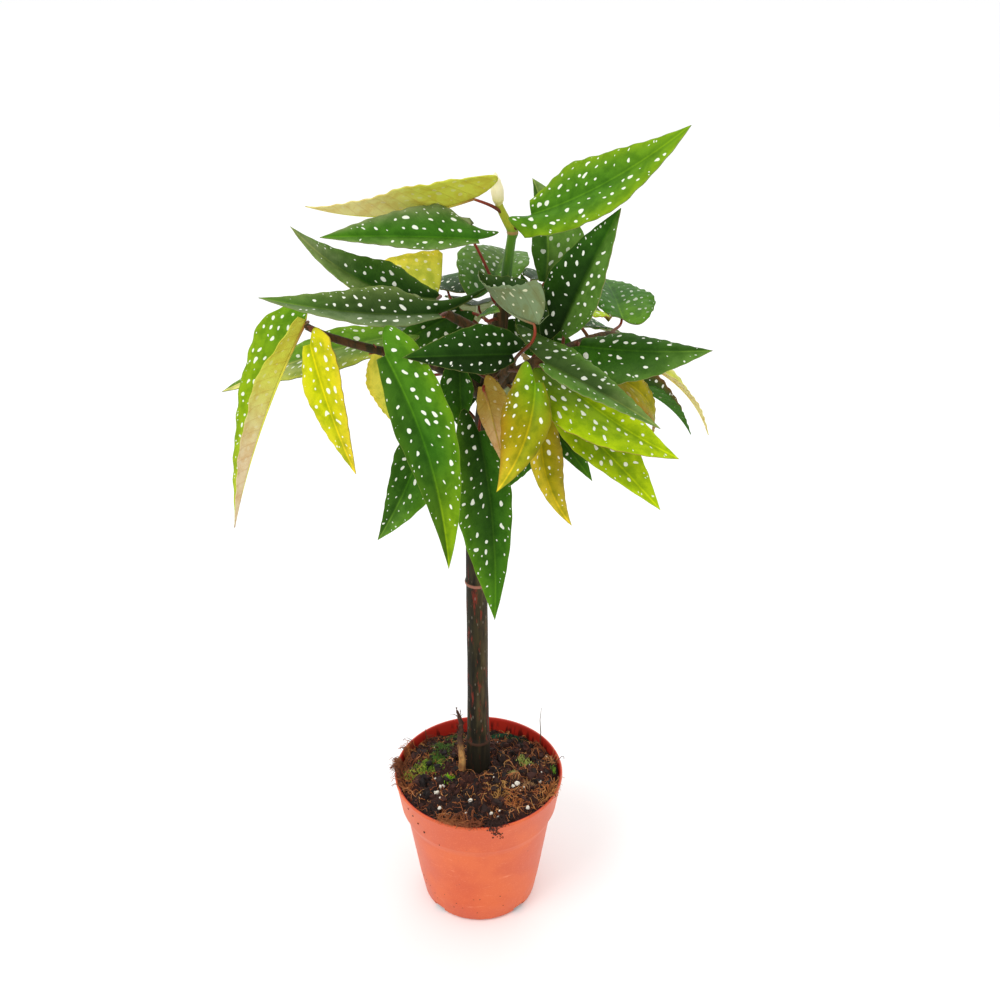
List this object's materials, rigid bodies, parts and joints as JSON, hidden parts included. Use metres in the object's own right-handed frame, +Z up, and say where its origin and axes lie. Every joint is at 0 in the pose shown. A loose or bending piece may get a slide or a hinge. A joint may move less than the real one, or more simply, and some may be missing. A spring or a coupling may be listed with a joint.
{
  "type": "potted begonia",
  "caption": "Spotted-leaf cane begonia grown as a small standard tree, with long pointed lopsided leaves, in a round tapered nursery pot of soil.",
  "frame": {"origin": "centre of the pot's underside", "axes": "+Z up along the pot's axis, -Y towards the front of the plant, +X to the right seen from the front"},
  "size_m": [0.3085, 0.2603, 0.5732],
  "materials": {
    "pot_plastic": "satin",
    "potting_soil": "matte",
    "cane_bark": "matte",
    "green_shoot": "satin",
    "bud_skin": "satin",
    "dry_bark": "matte",
    "leaf_dark": "satin",
    "leaf_green": "satin",
    "leaf_lime": "satin",
    "leaf_yellow": "satin",
    "leaf_gold": "satin",
    "leaf_tan": "satin",
    "leaf_grey": "satin"
  },
  "bodies": {
    "root": {"pot": "pot_plastic", "soil": "potting_soil", "cane": "cane_bark", "leading_shoot": "green_shoot", "bud": "bud_skin", "dry_sheath": "dry_bark", "leaf_top_right": "leaf_lime", "leaf_top_left": "leaf_yellow", "leaf_upper_left": "leaf_green", "leaf_left_high": "leaf_dark", "leaf_left_long": "leaf_dark", "leaf_back_yellow": "leaf_yellow", "leaf_back_middle": "leaf_green", "leaf_back_tall": "leaf_grey", "leaf_right_upright": "leaf_dark", "leaf_back_round": "leaf_green", "leaf_right_flat": "leaf_dark", "leaf_right_gold": "leaf_gold", "leaf_right_thin": "leaf_dark", "leaf_right_pale": "leaf_lime", "leaf_front_grey": "leaf_grey", "leaf_middle_fold": "leaf_grey", "leaf_center_dark": "leaf_dark", "leaf_front_long": "leaf_green", "leaf_low_center": "leaf_green", "leaf_low_left": "leaf_dark", "leaf_left_yellow": "leaf_yellow", "leaf_left_drooping": "leaf_green", "leaf_far_left": "leaf_green", "leaf_left_small": "leaf_yellow", "leaf_center_narrow": "leaf_dark", "leaf_center_tan": "leaf_tan", "leaf_front_olive": "leaf_gold", "leaf_front_gold": "leaf_gold", "leaf_lime_upper": "leaf_lime", "leaf_lime_lower": "leaf_lime", "leaf_right_under": "leaf_dark", "leaf_low_right_dark": "leaf_dark", "leaf_inner_young": "leaf_green", "leaf_back_far": "leaf_green", "leaf_back_right": "leaf_dark", "leaf_back_left": "leaf_dark", "leaf_back_left_low": "leaf_green", "leaf_back_right_low": "leaf_green", "leaf_under_back": "leaf_green", "leaf_under_left": "leaf_dark", "leaf_under_right": "leaf_lime", "leaf_side_left": "leaf_lime", "leaf_side_right": "leaf_lime", "leaf_inner_left": "leaf_dark", "leaf_inner_right": "leaf_dark", "leaf_inner_low": "leaf_dark", "leaf_inner_dark": "leaf_dark"}
  },
  "joints": []
}
